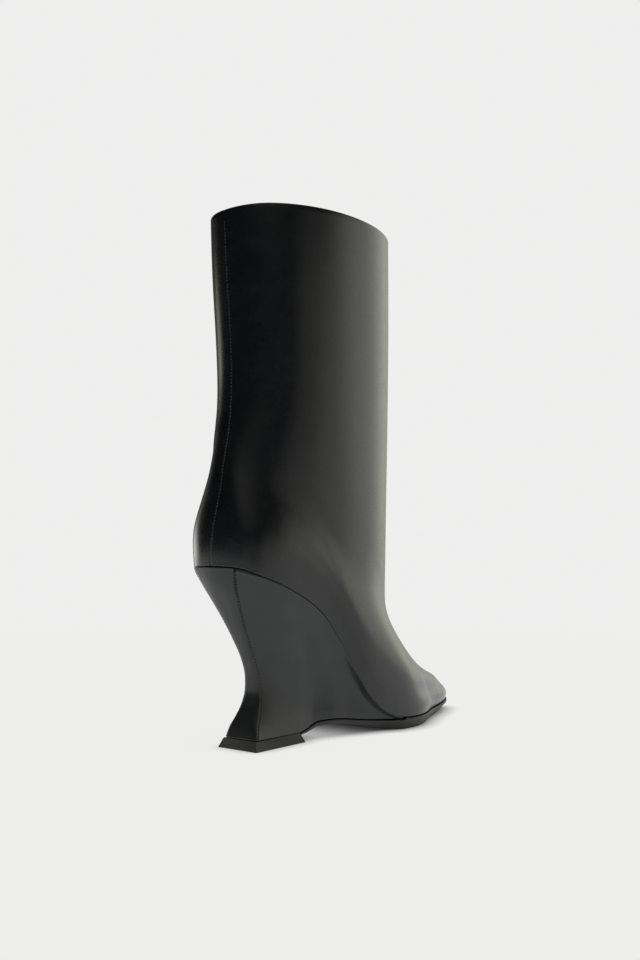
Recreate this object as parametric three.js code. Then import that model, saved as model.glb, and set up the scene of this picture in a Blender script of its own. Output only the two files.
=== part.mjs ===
// A wedge ankle boot for the right foot: hollow upper, insole, wedge, back panel, top piece and outsole.
// Millimetres, +Z up, toe towards -Y, outer side towards -X.
// The origin is the middle of the top piece's underside, on the floor.

import * as THREE from 'three';

// Lengths and heights of the boot
const bootLength = 218.3; // back of the heel to the tip of the toe, seen from above
const heelOverhang = 40.3; // middle of the top piece back to the rearmost point of the heel
const heelHeight = 95; // floor to the upper's lower edge at the back
const shaftHeight = 188; // the upper's lower edge at the back to the collar
const ballWidth = 70; // width of the sole across the ball of the foot
const shaftWidth = 76; // outside width of the collar, side to side
const collarDip = 2.2; // how far the collar dips at the back

// Thicknesses and fits
const wall = 1.8; // leather and lining together
const insoleThickness = 3;
const soleThickness = 6.3; // outsole under the ball of the foot
const toeThickness = 3.2; // outsole at the tip of the toe
const panelThickness = 1.4; // leather-covered strip down the back of the wedge
const panelRoll = 0.9; // rounding of the strip's corners
const fit = 0.3; // gap between pieces that touch

// Sole, wedge and top piece
const toeSpring = 3.6; // height of the sole's underside at the tip
const soleLip = 1; // outsole edge beyond the upper
const lipStart = 0.45; // where the edge starts to stand out, as a share of the boot's length
const lipEnd = 0.6;
const soleEdge = 1.4; // upright band round the outsole, right under the upper
const soleTuck = 3; // how far the outsole's side slants in under that band
const topPieceHeight = 5;
const topPieceLength = 39.4; // at the floor
const topPieceWidth = 27.4; // at the floor
const topPieceFlare = 2.1; // how far each side slopes out towards the floor
const wedgeFront = 0.575; // where the wedge ends, as a share of the boot's length
const breastGap = 0.9; // top piece to the outsole's rear end
const springStart = 0.74; // where the toe starts to lift, as a share of the boot's length
const springPower = 1.6; // how late the toe's lift comes on

// Steps of the surfaces
const stepsAround = 108;
const stepsUpFoot = 13;
const stepsUpShaft = 4;
const stepsUpWedge = 16;

// Half widths of the sole's outline, as shares of the ball width, at equal turns from the back to the toe
const outline = [
  { outer: 0.0, inner: 0.0 },
  { outer: 0.242, inner: 0.242 },
  { outer: 0.362, inner: 0.355 },
  { outer: 0.401, inner: 0.385 },
  { outer: 0.411, inner: 0.39 },
  { outer: 0.437, inner: 0.43 },
  { outer: 0.468, inner: 0.52 },
  { outer: 0.305, inner: 0.435 },
  { outer: 0.186, inner: 0.25 },
  { outer: 0.076, inner: 0.105 },
  { outer: -0.01, inner: 0.01 },
];

// The upper's lower edge: along is a share of the boot's length, rise a share of the climb to the heel
const climb = [
  { along: 0.0, rise: 1.0 },
  { along: 0.02, rise: 0.988 },
  { along: 0.055, rise: 0.951 },
  { along: 0.13, rise: 0.879 },
  { along: 0.2, rise: 0.799 },
  { along: 0.26, rise: 0.707 },
  { along: 0.32, rise: 0.553 },
  { along: 0.38, rise: 0.37 },
  { along: 0.42, rise: 0.247 },
  { along: 0.46, rise: 0.15 },
  { along: 0.51, rise: 0.0645 },
  { along: 0.565, rise: 0.0125 },
  { along: 0.61, rise: 0.0 },
  { along: 1.0, rise: 0.0 },
];

// Profile of the upper, a row for each ring from its lower edge to the collar. Stations are shares of the
// boot's length, backUp of the shaft height and frontUp of the height from the toe's lower edge to the collar.
const profile = [
  { back: 0.0025, backUp: 0, front: 0.998, frontUp: 0 },
  { back: 0, backUp: 0.053, front: 1.002, frontUp: 0.0148 },
  { back: 0.0032, backUp: 0.112, front: 0.956, frontUp: 0.0395 },
  { back: 0.0101, backUp: 0.17, front: 0.913, frontUp: 0.06 },
  { back: 0.0183, backUp: 0.223, front: 0.836, frontUp: 0.075 },
  { back: 0.0275, backUp: 0.274, front: 0.745, frontUp: 0.119 },
  { back: 0.0399, backUp: 0.33, front: 0.6725, frontUp: 0.166 },
  { back: 0.0522, backUp: 0.388, front: 0.641, frontUp: 0.208 },
  { back: 0.0623, backUp: 0.457, front: 0.6325, frontUp: 0.288 },
  { back: 0.0673, backUp: 0.543, front: 0.628, frontUp: 0.41 },
  { back: 0.0632, backUp: 0.665, front: 0.633, frontUp: 0.584 },
  { back: 0.0522, backUp: 0.824, front: 0.635, frontUp: 0.786 },
  { back: 0.0399, backUp: 1, front: 0.63, frontUp: 1 },
];

// Girth of the same rings: wide is the half width as a share of the width, round goes from the sole's outline
// to an oval, level from the lower edge's climb to an even slope, and heel and toe narrow the ring's two ends.
const girth = [
  { wide: 0.5, round: 0, level: 0, heel: 0, toe: 0 },
  { wide: 0.512, round: 0.19, level: 0, heel: -0.05, toe: 0 },
  { wide: 0.5225, round: 0.35, level: 0.05, heel: -0.088, toe: 0.018 },
  { wide: 0.523, round: 0.57, level: 0.23, heel: -0.048, toe: 0.055 },
  { wide: 0.512, round: 0.765, level: 0.44, heel: 0.022, toe: 0.095 },
  { wide: 0.489, round: 0.93, level: 0.6, heel: 0.066, toe: 0.122 },
  { wide: 0.471, round: 0.965, level: 0.77, heel: 0.055, toe: 0.127 },
  { wide: 0.475, round: 0.98, level: 0.885, heel: -0.01, toe: 0.104 },
  { wide: 0.4895, round: 1, level: 0.95, heel: -0.023, toe: 0.06 },
  { wide: 0.506, round: 1, level: 1, heel: -0.005, toe: 0.02 },
  { wide: 0.5175, round: 1, level: 1, heel: -0.02, toe: 0.01 },
  { wide: 0.531, round: 1, level: 1, heel: -0.03, toe: -0.01 },
  { wide: 0.543, round: 1, level: 1, heel: 0.05, toe: -0.04 },
];

// The collar's wave, as shares of its dip at the back, at equal turns from the back over the outer side
const collarWave = [-1, 0.14, 0.77, 0.91, 0.73, 0.36, 0.09, -0.18, -0.55, -0.91];

// Back edge of the wedge from the top piece up: set is the distance in front of the heel's rearmost point as a
// share of the boot's length, up a share of the edge's height, and bulge how far the middle stands behind the
// corners, a share of the boot's length. wide is a share of a width from the top piece's to the upper's.
const backEdge = [
  { up: 0.0, set: 0.105, wide: 0.405, bulge: 0.0008 },
  { up: 0.06, set: 0.112, wide: 0.357, bulge: 0.0008 },
  { up: 0.12, set: 0.125, wide: 0.298, bulge: 0.0008 },
  { up: 0.19, set: 0.137, wide: 0.2385, bulge: 0.0008 },
  { up: 0.27, set: 0.143, wide: 0.193, bulge: 0.0008 },
  { up: 0.36, set: 0.139, wide: 0.163, bulge: 0.0008 },
  { up: 0.46, set: 0.124, wide: 0.15, bulge: 0.0008 },
  { up: 0.57, set: 0.1, wide: 0.174, bulge: 0.0008 },
  { up: 0.68, set: 0.075, wide: 0.225, bulge: 0.001 },
  { up: 0.8, set: 0.048, wide: 0.311, bulge: 0.002 },
  { up: 0.91, set: 0.0245, wide: 0.4, bulge: 0.006 },
  { up: 1.0, set: 0.0105, wide: 0.5, bulge: 0.0075 },
];

// Lower edge of the wedge from the top piece's front to the wedge's front end: up is a share of the heel height
// and wide a share of the upper's half width at the same place
const arch = [
  { along: 0.0, up: 0.0, wide: 0.42 },
  { along: 0.065, up: 0.008, wide: 0.412 },
  { along: 0.139, up: 0.0285, wide: 0.415 },
  { along: 0.22, up: 0.048, wide: 0.47 },
  { along: 0.346, up: 0.052, wide: 0.59 },
  { along: 0.48, up: 0.043, wide: 0.66 },
  { along: 0.605, up: 0.0305, wide: 0.735 },
  { along: 0.775, up: 0.018, wide: 0.83 },
  { along: 0.88, up: 0.0126, wide: 0.9 },
  { along: 1.0, up: 0.0105, wide: 0.99 },
];

// Underside of the outsole: along is a share of the boot's length, up a share of the heel height
const underside = [
  { along: 0.262, up: 0.04 },
  { along: 0.3, up: 0.052 },
  { along: 0.33, up: 0.071 },
  { along: 0.37, up: 0.078 },
  { along: 0.42, up: 0.064 },
  { along: 0.47, up: 0.043 },
  { along: 0.52, up: 0.021 },
  { along: 0.57, up: 0.005 },
  { along: 0.605, up: 0.0 },
  { along: 1.0, up: 0.0 },
];

// A smooth line through the rows of a table that never overshoots: column against key, at x
function through(rows, key, column, x) {
  const last = rows.length - 1;
  let i = rows.findIndex((row) => row[key] > x) - 1;
  if (i < 0) i = x <= rows[0][key] ? 0 : last - 1;
  const slope = (k) => {
    if (k < 0 || k >= last) return 0;
    return (rows[k + 1][column] - rows[k][column]) / (rows[k + 1][key] - rows[k][key]);
  };
  const tangent = (k) => {
    const before = slope(k - 1);
    const after = slope(k);
    if (k === 0 || k === last) return k === 0 ? after : before;
    return before * after <= 0 ? 0 : (2 * before * after) / (before + after);
  };
  const step = rows[i + 1][key] - rows[i][key];
  const t = THREE.MathUtils.clamp((x - rows[i][key]) / step, 0, 1);
  const [a, b] = [rows[i][column], rows[i + 1][column]];
  return (
    a * (1 + 2 * t) * (1 - t) ** 2 +
    b * t * t * (3 - 2 * t) +
    step * (tangent(i) * t * (1 - t) ** 2 - tangent(i + 1) * t * t * (1 - t))
  );
}

// A smooth closed line through values at equal turns
function around(values, turn) {
  const n = values.length;
  const x = (turn - Math.floor(turn)) * n;
  const i = Math.floor(x);
  const t = x - i;
  const [p, a, b, q] = [-1, 0, 1, 2].map((k) => values[(i + k + n) % n]);
  return 0.5 * (2 * a + (b - p) * t + (2 * p - 5 * a + 4 * b - q) * t * t + (3 * a - p - 3 * b + q) * t ** 3);
}

const mix = THREE.MathUtils.lerp;

// A point by its distance in front of the origin, its distance to the outer side and its height
const place = (ahead, outward, height) => new THREE.Vector3(-outward, -ahead, height);

// The sole's outline at a turn from 0 at the back over 0.5 at the toe to 1, as a share of the ball width
const innerSide = outline.slice(1, -1).map((row) => -row.inner);
const outlineRows = [...outline.map((row) => row.outer), ...innerSide.reverse()];
const outlineSide = (turn) => around(outlineRows, turn);

const heelBack = -heelOverhang;
const topPieceLengthAbove = topPieceLength - 2 * topPieceFlare;
const shareAlong = (turn) => (1 - Math.cos(2 * Math.PI * turn)) / 2;
const aheadOf = (share) => heelBack + share * bootLength;
const shareOf = (ahead) => (ahead - heelBack) / bootLength;

// Height of the toe's underside above the floor: flat under the ball and sprung at the toe
const springHeight = (share) => toeSpring * Math.max(0, (share - springStart) / (1 - springStart)) ** springPower;
const soleTop = (share) => {
  const toe = Math.max(0, (share - springStart) / (1 - springStart));
  return springHeight(share) + mix(soleThickness, toeThickness, Math.min(1, toe));
};

// Height of the upper's lower edge, the same right across the boot
function featherHeight(share) {
  const floor = soleTop(share) + fit;
  return floor + (heelHeight - floor) * through(climb, 'along', 'rise', share);
}

const rings = profile.map((row, i) => ({ ...row, ...girth[i], rise: i / (profile.length - 1) }));

const shaftStart = 0.5; // rise from which the rings follow the shaft's width more than the ball's
const waveStart = 0.75; // rise from which the collar's wave shows
// The upper's outside: turn goes round from the back over the outer side and the toe, and rise from 0 at the
// lower edge to 1 at the collar
function upperOutside(turn, rise) {
  const at = (column) => through(rings, 'rise', column, rise);
  const along = shareAlong(turn);
  const ahead = aheadOf(mix(at('back'), at('front'), along));
  const across = Math.sin(2 * Math.PI * turn);
  const toShaft = THREE.MathUtils.smoothstep(rise, shaftStart, 1);
  const width = mix(ballWidth, (shaftWidth * 0.5) / rings.at(-1).wide, toShaft) * at('wide') * 2;
  const ends = 1 - at('heel') * (1 - along) ** 4 - at('toe') * along ** 4;
  const outward = mix(outlineSide(turn), across / 2, at('round')) * ends * width;
  const backHeight = heelHeight + at('backUp') * shaftHeight;
  const toeHeight = featherHeight(rings[0].front);
  const frontHeight = toeHeight + at('frontUp') * (heelHeight + shaftHeight - toeHeight);
  const first = featherHeight(rings[0].back);
  const fall = (first - featherHeight(mix(rings[0].back, rings[0].front, along))) / (first - toeHeight);
  const wave = collarDip * around(collarWave, turn) * THREE.MathUtils.smoothstep(rise, waveStart, 1);
  const height = mix(backHeight, frontHeight, mix(fall, along, at('level'))) + wave;
  return place(ahead, outward, height);
}

// The same surface moved inwards by the wall
function upperInside(turn, rise) {
  const nudge = 0.002;
  const low = Math.max(0, rise - nudge);
  const high = Math.min(1, rise + nudge);
  const forwards = upperOutside(turn + nudge, rise).sub(upperOutside(turn - nudge, rise));
  const upwards = upperOutside(turn, high).sub(upperOutside(turn, low));
  const inward = upwards.cross(forwards).normalize();
  const point = upperOutside(turn, rise).addScaledVector(inward, wall);
  if (rise === 0) point.z = featherHeight(shareOf(-point.y));
  if (rise === 1) point.z = upperOutside(turn, 1).z;
  return point;
}

// A mesh from loops of points, each joined to the next. The last loop is joined to the first if closed, and
// each end gets a cap if not.
function loft(loops, { closed = false } = {}) {
  const count = loops[0].length;
  const points = loops.flat();
  const faces = [];
  const bands = closed ? loops.length : loops.length - 1;
  for (let j = 0; j < bands; j++) {
    const lower = j * count;
    const upper = ((j + 1) % loops.length) * count;
    for (let i = 0; i < count; i++) {
      const next = (i + 1) % count;
      faces.push(lower + i, lower + next, upper + next, lower + i, upper + next, upper + i);
    }
  }
  if (!closed) {
    // each cap is strips between the two sides of its loop, which hold their points in pairs
    const top = (loops.length - 1) * count;
    for (let i = 0; i + 1 < count - 1 - i; i++) {
      const [a, b, c, d] = [i, i + 1, count - 2 - i, count - 1 - i];
      faces.push(a, c, b, a, d, c);
      faces.push(top + a, top + b, top + c, top + a, top + c, top + d);
    }
  }
  const geometry = new THREE.BufferGeometry();
  geometry.setAttribute('position', new THREE.Float32BufferAttribute(points.flatMap((p) => p.toArray()), 3));
  geometry.setIndex(faces);
  return facingOut(withoutSlivers(geometry));
}

// Drops faces whose corners coincide
function withoutSlivers(geometry) {
  const position = geometry.getAttribute('position');
  const corner = (i) => new THREE.Vector3().fromBufferAttribute(position, i);
  const index = [...geometry.index.array];
  const kept = [];
  for (let i = 0; i < index.length; i += 3) {
    const [a, b, c] = [0, 1, 2].map((k) => corner(index[i + k]));
    const least = Math.min(a.distanceTo(b), b.distanceTo(c), c.distanceTo(a));
    if (least > 1e-4) kept.push(...index.slice(i, i + 3));
  }
  geometry.setIndex(kept);
  return geometry;
}

// Turns every face round if the volume comes out negative
function facingOut(geometry) {
  const position = geometry.getAttribute('position');
  const index = [...geometry.index.array];
  const corner = (i) => new THREE.Vector3().fromBufferAttribute(position, i);
  let volume = 0;
  for (let i = 0; i < index.length; i += 3) {
    const [a, b, c] = [0, 1, 2].map((k) => corner(index[i + k]));
    volume += a.dot(b.cross(c));
  }
  if (volume < 0) {
    for (let i = 0; i < index.length; i += 3) [index[i + 1], index[i + 2]] = [index[i + 2], index[i + 1]];
    geometry.setIndex(index);
  }
  geometry.computeVertexNormals();
  return geometry;
}

const span = (n, f) => Array.from({ length: n + 1 }, (_, i) => f(i / n));

// The turns that every piece shares, so that their edges run side by side
const turns = Array.from({ length: stepsAround }, (_, i) => (i + 0.5) / stepsAround);

function upperGeometry() {
  const footPart = 2 / 3;
  const rises = [
    ...span(stepsUpFoot, (x) => x * footPart),
    ...span(stepsUpShaft, (x) => mix(footPart, 1, x)).slice(1),
  ];
  const outside = rises.map((rise) => turns.map((turn) => upperOutside(turn, rise)));
  const inside = rises.map((rise) => turns.map((turn) => upperInside(turn, rise))).reverse();
  return loft([...outside, ...inside], { closed: true });
}

// The sole's outline in plan at a turn, moved outwards by grow
function footprint(turn, grow) {
  const flat = (t) => upperOutside(t, 0).setZ(0);
  const nudge = 0.002;
  const along = flat(turn + nudge).sub(flat(turn - nudge));
  const outwards = new THREE.Vector3(along.y, -along.x, 0).normalize();
  return flat(turn).addScaledVector(outwards, grow);
}

function insoleGeometry() {
  const inset = wall + 1.5 * fit;
  const loop = (lift) =>
    turns.map((turn) => {
      const point = footprint(turn, -inset);
      return point.setZ(featherHeight(shareOf(-point.y)) + lift + fit / 2);
    });
  return loft([loop(0), loop(insoleThickness)]);
}

// The turn at which the upper's lower edge stands at a share of the boot's length, on the outer side
function turnAt(share) {
  const part = (share - rings[0].back) / (rings[0].front - rings[0].back);
  return Math.acos(1 - 2 * THREE.MathUtils.clamp(part, 0, 1)) / (2 * Math.PI);
}

// Half width of the upper's lower edge at a share of the boot's length; side is 1 outside and -1 inside
function halfWidth(share, side) {
  const turn = turnAt(share);
  return Math.abs(upperOutside(side > 0 ? turn : 1 - turn, 0).x);
}

const wedgeBase = topPieceHeight + fit;
const wedgeTop = (share) => featherHeight(share) - fit;
const breast = topPieceLengthAbove / 2;

// Lower edge of the wedge in front of the top piece at a share of the way to the wedge's front end
function archEdge(q, side) {
  const ahead = mix(breast, aheadOf(wedgeFront), q);
  const half = through(arch, 'along', 'wide', q) * halfWidth(shareOf(ahead), side);
  return place(ahead, side * half, wedgeBase + through(arch, 'along', 'up', q) * heelHeight);
}

// Lower edge of the wedge from its back corner (p = 0) to its front end (p = 1)
const baseShare = 0.28;
function wedgeLowerEdge(p, side) {
  if (p >= baseShare) return archEdge((p - baseShare) / (1 - baseShare), side);
  const rear = place(aheadOf(backEdge[0].set), side * backEdge[0].wide * topPieceWidth, wedgeBase);
  return rear.lerp(archEdge(0, side), p / baseShare);
}

// Upper edge of the wedge, right under the upper's lower edge
const firstTurn = turnAt(backEdge.at(-1).set);
const lastTurn = turnAt(wedgeFront);
const wedgeTurns = turns.filter((turn) => turn > firstTurn && turn < lastTurn);
const wedgeShares = [0, ...wedgeTurns.map((turn) => (turn - firstTurn) / (lastTurn - firstTurn)), 1];
function wedgeUpperEdge(p, side) {
  const turn = mix(firstTurn, lastTurn, p);
  const point = upperOutside(side > 0 ? turn : 1 - turn, 0);
  return point.setZ(wedgeTop(shareOf(-point.y)));
}

// Back corner of the wedge at a share of its height
function wedgeCorner(q, side) {
  const top = wedgeUpperEdge(0, side);
  const width = mix(topPieceWidth, 2 * Math.abs(top.x), q);
  const half = through(backEdge, 'up', 'wide', q) * width;
  return place(aheadOf(through(backEdge, 'up', 'set', q)), side * half, mix(wedgeBase, top.z, q));
}

// Side of the wedge as a patch between its four edges: p goes from the back corner to the front end, q upwards
function wedgeSide(p, q, side) {
  const rims = wedgeLowerEdge(p, side).lerp(wedgeUpperEdge(p, side), q);
  const front = wedgeLowerEdge(1, side).lerp(wedgeUpperEdge(1, side), q);
  const ends = wedgeCorner(q, side).lerp(front, p);
  const below = wedgeLowerEdge(0, side).lerp(wedgeLowerEdge(1, side), p);
  const above = wedgeUpperEdge(0, side).lerp(wedgeUpperEdge(1, side), p);
  return rims.add(ends).sub(below.lerp(above, q));
}

// The share p at which the wedge's side is a distance in front of its back corner
function sideShare(distance, q, side) {
  const start = wedgeCorner(q, side).y;
  let [low, high] = [0, 0.5];
  for (let i = 0; i < 30; i++) {
    const middle = (low + high) / 2;
    if (start - wedgeSide(middle, q, side).y < distance) low = middle;
    else high = middle;
  }
  return low;
}

// A point across the back of the wedge, a depth in front of its surface: v goes from -1 at the inner corner to
// 1 at the outer one
function acrossBack(v, q, depth) {
  const side = v < 0 ? -1 : 1;
  const corner = wedgeSide(sideShare(depth, q, side), q, side);
  const bulge = through(backEdge, 'up', 'bulge', q) * bootLength * (1 - v * v);
  const point = place(-corner.y - bulge, -corner.x * Math.abs(v), 0);
  const lift = wedgeTop(shareOf(-point.y)) - wedgeTop(shareOf(-corner.y));
  return point.setZ(corner.z + q * lift);
}

function wedgeGeometry() {
  const depth = panelThickness + fit;
  const acrossHalf = [0.16, 0.5, 0.8];
  const blend = 0.15; // how far forward the side's first stations move to make room for the panel
  const loops = span(stepsUpWedge, (q) => {
    const sideLine = (side) => {
      const first = sideShare(depth, q, side);
      const shifted = (p) => p + first * Math.max(0, 1 - p / blend) ** 2;
      return wedgeShares.map((p) => wedgeSide(shifted(p), q, side));
    };
    const back = (side) => acrossHalf.map((v) => acrossBack(side * v, q, depth));
    return [...back(1), ...sideLine(1), ...sideLine(-1).reverse(), ...back(-1).reverse()];
  });
  return loft(loops);
}

function backPanelGeometry() {
  const acrossBackFace = [0.56, 0.28, 0, -0.28, -0.56];
  const innerReach = 0.96; // half width of the panel's hidden face, as a share of its own
  const shoulderDrop = 0.3; // how far the rolled corner's middle is cut back, as a share of the rounding
  const loops = span(stepsUpWedge, (q) => {
    const onSide = (distance, side) => wedgeSide(sideShare(distance, q, side), q, side);
    const rolled = (side) => {
      const behind = acrossBack(side, q, 0);
      const half = Math.abs(behind.x);
      const edge = acrossBack(side * (1 - panelRoll / half), q, 0);
      const shoulder = acrossBack(side * (1 - (shoulderDrop * panelRoll) / half), q, 0);
      shoulder.y -= shoulderDrop * panelRoll;
      return [onSide(panelThickness, side), onSide(panelRoll, side), shoulder, edge];
    };
    const middle = acrossBackFace.map((v) => acrossBack(v, q, 0));
    const outside = [...rolled(1), ...middle, ...rolled(-1).reverse()];
    const hidden = (x) => acrossBack(mix(-innerReach, innerReach, x), q, panelThickness);
    const inside = span(outside.length - 1, hidden);
    return [...outside, ...inside];
  });
  return loft(loops);
}

// One side of the outsole's outline from the top piece to the toe, with its top and bottom heights
function soleSide(side) {
  const lip = (share) => soleLip * THREE.MathUtils.smoothstep(share, lipStart, lipEnd);
  const start = breastGap / (aheadOf(wedgeFront) - breast);
  const leastStep = 0.01; // so that no two stations lie too close together
  const underArch = wedgeShares.map((p) => (p - baseShare) / (1 - baseShare));
  const archShares = underArch.filter((q) => q > start + leastStep);
  const points = [];
  for (const q of [start, ...archShares]) {
    const edge = archEdge(q, side);
    const share = shareOf(-edge.y);
    points.push({ plan: place(-edge.y, -edge.x + side * lip(share), 0), top: edge.z - fit });
  }
  const stepFoot = turnAt(wedgeFront + fit / bootLength);
  const stepHead = turnAt(wedgeFront + (2 * fit) / bootLength);
  const leastTurn = 0.3 / stepsAround;
  const edgeOf = (turn) => footprint(side > 0 ? turn : 1 - turn, soleLip);
  points.push({ plan: edgeOf(stepFoot), top: archEdge(1, side).z - fit });
  const foreTurns = turns.filter((turn) => turn > stepHead + leastTurn && turn < 0.5);
  for (const turn of [stepHead, ...foreTurns]) {
    const plan = edgeOf(turn);
    points.push({ plan, top: featherHeight(shareOf(-plan.y)) - fit });
  }
  return points.map(({ plan, top }) => {
    const share = shareOf(-plan.y);
    const bottom = through(underside, 'along', 'up', share) * heelHeight + springHeight(share);
    return { plan, top, bottom };
  });
}

function outsoleGeometry() {
  const rim = [...soleSide(1), ...soleSide(-1).reverse()];
  const count = rim.length;
  const inwards = rim.map((_, i) => {
    const [before, after] = [rim[(i + count - 1) % count].plan, rim[(i + 1) % count].plan];
    return new THREE.Vector3(before.y - after.y, after.x - before.x, 0).normalize();
  });
  const leastSlant = 0.2; // least share of the sole's thickness that slants
  const steepest = 0.9; // most that the slant reaches in, as a share of its height
  const layer = (share, heightOf) =>
    rim.map((point, i) => {
      const thickness = point.top - point.bottom;
      const slant = Math.max(leastSlant * thickness, thickness - soleEdge);
      const tuck = Math.min(soleTuck, steepest * slant);
      return point.plan.clone().addScaledVector(inwards[i], share * tuck).setZ(heightOf(point, slant));
    });
  return loft([
    layer(1, (point) => point.bottom),
    layer(0, (point, slant) => point.bottom + slant),
    layer(0, (point) => point.top),
  ]);
}

function topPieceGeometry() {
  const level = (z, flare) => {
    const [a, w] = [topPieceLength / 2 - flare, topPieceWidth / 2 - flare];
    return [place(-a, w, z), place(a, w, z), place(a, -w, z), place(-a, -w, z)];
  };
  return loft([level(0, 0), level(topPieceHeight, topPieceFlare)]);
}

function material(color, roughness) {
  return new THREE.MeshStandardMaterial({ color, roughness, metalness: 0 });
}

const leather = material(0x17181a, 0.4);
const coveredWedge = material(0x1c1d1f, 0.38);
const rubber = material(0x2a2b2a, 0.6);
const soleBlack = material(0x141414, 0.55);
const lining = material(0x1a1918, 0.7);

const boot = new THREE.Group();
for (const [name, geometry, finish] of [
  ['upper', upperGeometry(), leather],
  ['insole', insoleGeometry(), lining],
  ['wedge_heel', wedgeGeometry(), coveredWedge],
  ['heel_back_panel', backPanelGeometry(), coveredWedge],
  ['top_piece', topPieceGeometry(), rubber],
  ['outsole', outsoleGeometry(), soleBlack],
]) {
  const mesh = new THREE.Mesh(geometry, finish);
  mesh.name = name;
  boot.add(mesh);
}

export default boot;
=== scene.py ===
# The looks of a wedge ankle boot for the right foot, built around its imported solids.
# Metres, +Z up, toe towards -Y, outer side towards -X, origin under the middle of the top piece.
import math

import bpy
import numpy as np
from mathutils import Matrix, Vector


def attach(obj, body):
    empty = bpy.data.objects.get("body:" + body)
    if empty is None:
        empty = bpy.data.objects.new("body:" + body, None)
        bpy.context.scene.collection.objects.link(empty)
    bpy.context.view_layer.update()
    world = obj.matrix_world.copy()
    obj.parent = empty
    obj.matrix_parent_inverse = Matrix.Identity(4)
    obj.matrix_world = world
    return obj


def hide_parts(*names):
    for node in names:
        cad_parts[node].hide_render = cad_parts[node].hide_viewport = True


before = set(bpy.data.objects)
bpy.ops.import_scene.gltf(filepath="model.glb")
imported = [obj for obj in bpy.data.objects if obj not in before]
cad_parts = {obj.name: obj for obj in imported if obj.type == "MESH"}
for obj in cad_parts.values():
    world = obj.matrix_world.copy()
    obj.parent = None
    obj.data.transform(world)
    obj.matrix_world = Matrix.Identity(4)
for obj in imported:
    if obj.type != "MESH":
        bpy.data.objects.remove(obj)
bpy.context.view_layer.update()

# Lengths and heights of the boot
BOOT_LENGTH = 0.2183
HEEL_OVERHANG = 0.0403  # middle of the top piece back to the rearmost point of the heel
HEEL_HEIGHT = 0.095
SHAFT_HEIGHT = 0.188
BALL_WIDTH = 0.070
SHAFT_WIDTH = 0.076
COLLAR_DIP = 0.0022
SHAFT_START = 0.5  # rise from which the upper's girth turns into the shaft's width
WAVE_START = 0.75  # rise from which the collar's wave grows

# Thicknesses and fits
WALL = 0.0018
LEATHER = 0.0010  # outer leather alone, the lining is the rest of the wall
INSOLE_THICKNESS = 0.003
SOLE_THICKNESS = 0.0063
TOE_THICKNESS = 0.0032
PANEL_THICKNESS = 0.0014
PANEL_ROLL = 0.0009
FIT = 0.0003
SOCK_FIT = 1.5 * FIT
LINING_FIT = 0.00003
LINING_DROP = 0.0001  # the lining's top edge below the end of the facing

# Sole, wedge and top piece
TOE_SPRING = 0.0036
SOLE_LIP = 0.001
LIP_START = 0.45
LIP_END = 0.6
SOLE_EDGE = 0.0014  # upright band round the outsole
SOLE_TUCK = 0.003  # how far its side slants in under that band
SLANT_LEAST = 0.2  # smallest share of the outsole's height that its slanted side takes
SLANT_SHAPE = 0.6  # 0 would make that side full and 1 hollow
TUCK_LIMIT = 0.9  # most that it slants in, as a share of that side's height
BROW_LIMIT = 0.2  # most of the outsole's height that its rounded top edge takes
UNDER_INSET = 1.4  # rim of the flat underside, as a multiple of the tuck
FACE_INSET = 3  # rim of the flat top, as a multiple of the brow
PLAN_EASINGS = 16  # rounds of evening out its plan, where it passes from the arch to the forefoot
TOP_PIECE_HEIGHT = 0.005
TOP_PIECE_LENGTH = 0.0394
TOP_PIECE_WIDTH = 0.0274
TOP_PIECE_FLARE = 0.0021
WEDGE_FRONT = 0.575
BREAST_GAP = 0.0009
SPRING_START = 0.74
SPRING_POWER = 1.6

# Edges, seams and stitches
MM = 0.001
EDGE_ROUND = 0.00055  # leather edges at the feather line and at the panel
ARCH_ROUND = 0.0009
SOCK_ROUND = 0.0012
SOCK_RIMS = (0.0003, 0.001)  # insets of its flat top's rims
SOLE_BROW = 0.0004
LIFT_ROUND = 0.0003
PANEL_ROLL_WIDE = 0.0032
FACING = 0.006
COLLAR_ROLL = 0.0007
BASE_ROUND = 0.0004  # lower edge of the wedge over the top piece
ROUND_LIMIT = 0.45  # most of the height of the wedge's side that one rounded edge takes
LIP_FOLD = 0.0008  # raised fold where the wedge's outer side meets the upper and the panel
LIP_UNDER_TOP = (0.0011, 0.0007)  # distance of the fold from the top edge, and its reach
LIP_AT_CORNER = (0.004, 0.008)  # distance of its middle from the back corner, and its reach
SIDE_BLEND = 0.15  # share of the side over which its columns make room for the panel
SEAM_DEPTH = 0.00045
SEAM_REACH = 0.00045
SEAM_RIDGE = 0.0001
SEAM_PULL = 0.82
SEAM_SPAN = 0.02
PULL_REACH = 3 * SEAM_SPAN
BEND_REACH = 0.08  # turns on either side that follow the seam's bend
SEAM_LIMIT = 0.1  # turns beyond which no seam is raised
RIDGE_PLACE = 2.6 * SEAM_REACH
RIDGE_REACH = 1.4 * SEAM_REACH
CREASE_DEPTH = 0.02  # keeps a crease off the far side of the upper
BACK_STITCH = 0.0018
PANEL_STITCH = 0.00175
BACK_THREAD = 0.00045
PANEL_THREAD = 0.0006
STITCH_SINK = 0.00016
STITCH_FULLNESS = 0.6  # below 1 makes the ends of a stitch blunt
BACK_STITCH_SHARE = 0.7  # of the spacing, the rest is the gap
PANEL_STITCH_SHARE = 0.66
BACK_SEAM_SPAN = (0.02, 0.985)  # rises
PANEL_SEAM_SPAN = (0.02, 0.98)  # shares of the wedge's height

# How far up and down the upper's form is evened out, and the small steps for slopes and directions
FAIRING = 0.05
NUDGE = 0.002
SLOPE_SPAN = 0.02
FIRST_GUESS = 0.01  # share from which side_share starts
GUESS_ROUNDS = 5  # times that it comes closer

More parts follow.
